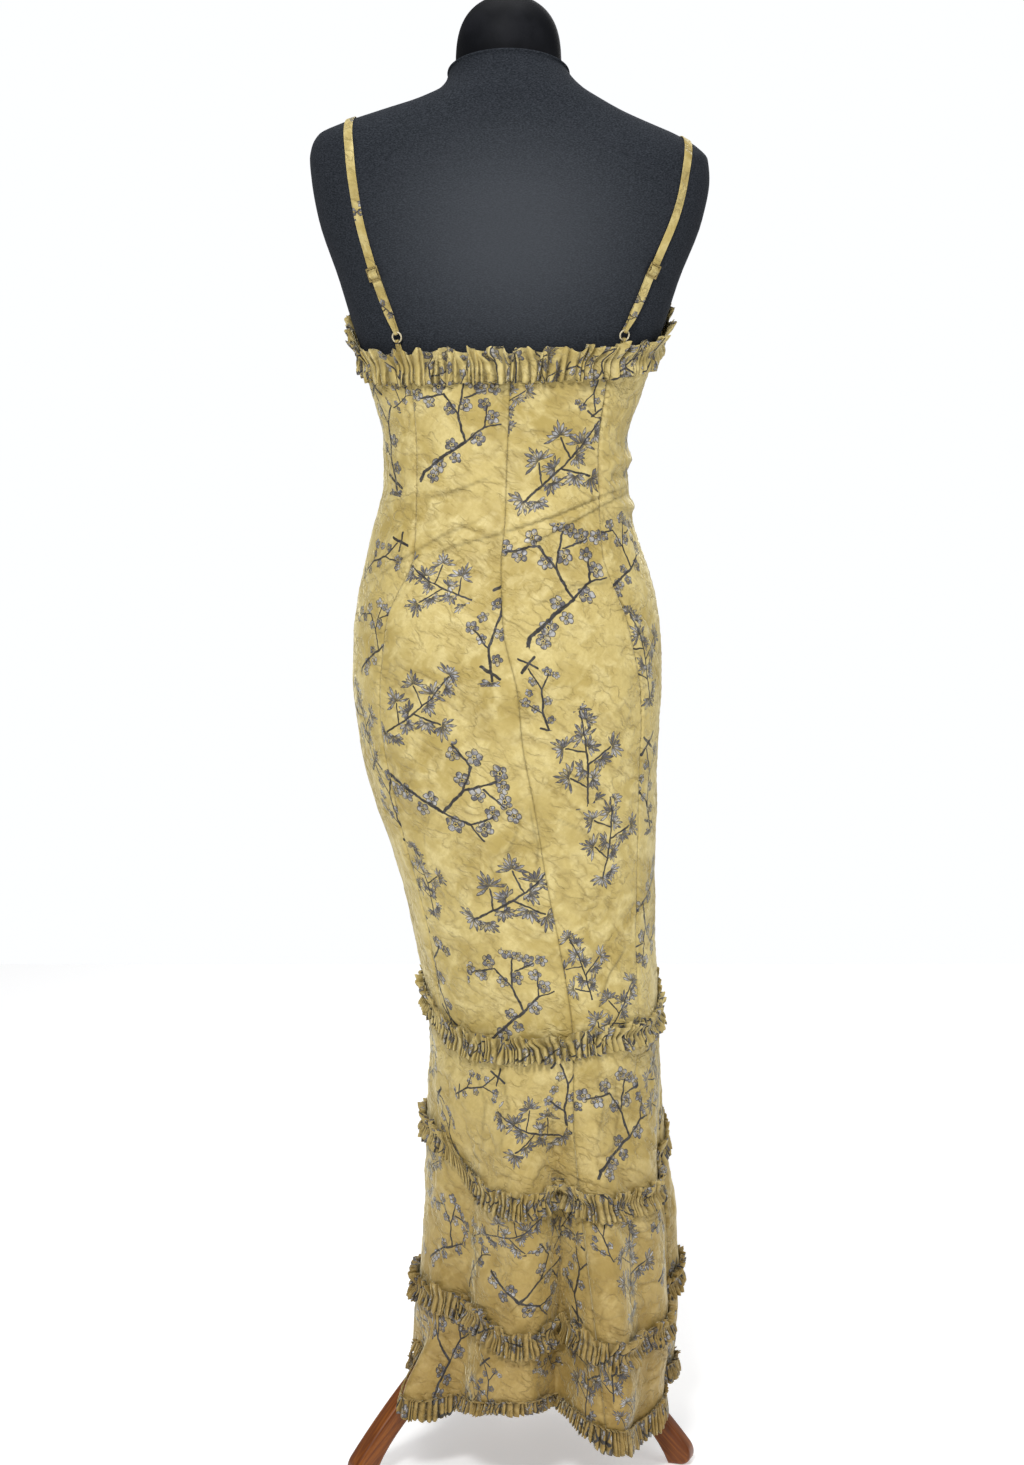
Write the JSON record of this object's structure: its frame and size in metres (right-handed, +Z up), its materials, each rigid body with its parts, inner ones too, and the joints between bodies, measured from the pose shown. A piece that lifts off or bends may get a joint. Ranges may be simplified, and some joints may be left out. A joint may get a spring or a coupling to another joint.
{
  "type": "bodycon dress on a limbless dress form with a wooden tripod",
  "caption": "Long close-fitting slip dress with thin straps and gathered ruffles, worn by a limbless dress form on a wooden tripod stand.",
  "frame": {"origin": "on the floor, under the middle of the stand's pole, where the bounding box's bottom centre lies to within 8 mm", "axes": "+Z up; the front of the dress faces -Y and its back, the side in view, faces +Y; +X is the wearer's left"},
  "size_m": [0.4045, 0.3865, 1.514],
  "materials": {
    "cloth": "brushed satin with a nap, golden olive, with grey-blue blossom branches and leaf sprigs",
    "jersey": "matt charcoal knitted jersey",
    "neck_cover": "smooth black cover, slightly glossy",
    "wood": "reddish brown satin varnish",
    "slider": "dull gold",
    "ring": "pale glossy coating"
  },
  "bodies": {
    "root": {"back_left": "cloth", "back_right": "cloth", "side_left": "cloth", "side_right": "cloth", "front": "cloth", "tier1_back_left": "cloth", "tier1_back_right": "cloth", "tier1_front": "cloth", "tier2_back_left": "cloth", "tier2_back_right": "cloth", "tier2_front": "cloth", "tier3_back_left": "cloth", "tier3_back_right": "cloth", "tier3_front": "cloth", "ruffle_neckline": "cloth", "ruffle_row1": "cloth", "ruffle_row2": "cloth", "ruffle_row3": "cloth", "ruffle_hem": "cloth", "strap_left": "cloth", "strap_right": "cloth", "strap_tab_left": "cloth", "strap_tab_right": "cloth", "torso": "jersey", "neck_cap": "neck_cover", "pole": "wood", "hub": "wood", "leg_left": "wood", "leg_right": "wood", "leg_front": "wood", "slider_left": "slider", "slider_right": "slider", "ring_left": "ring", "ring_right": "ring"}
  },
  "joints": []
}
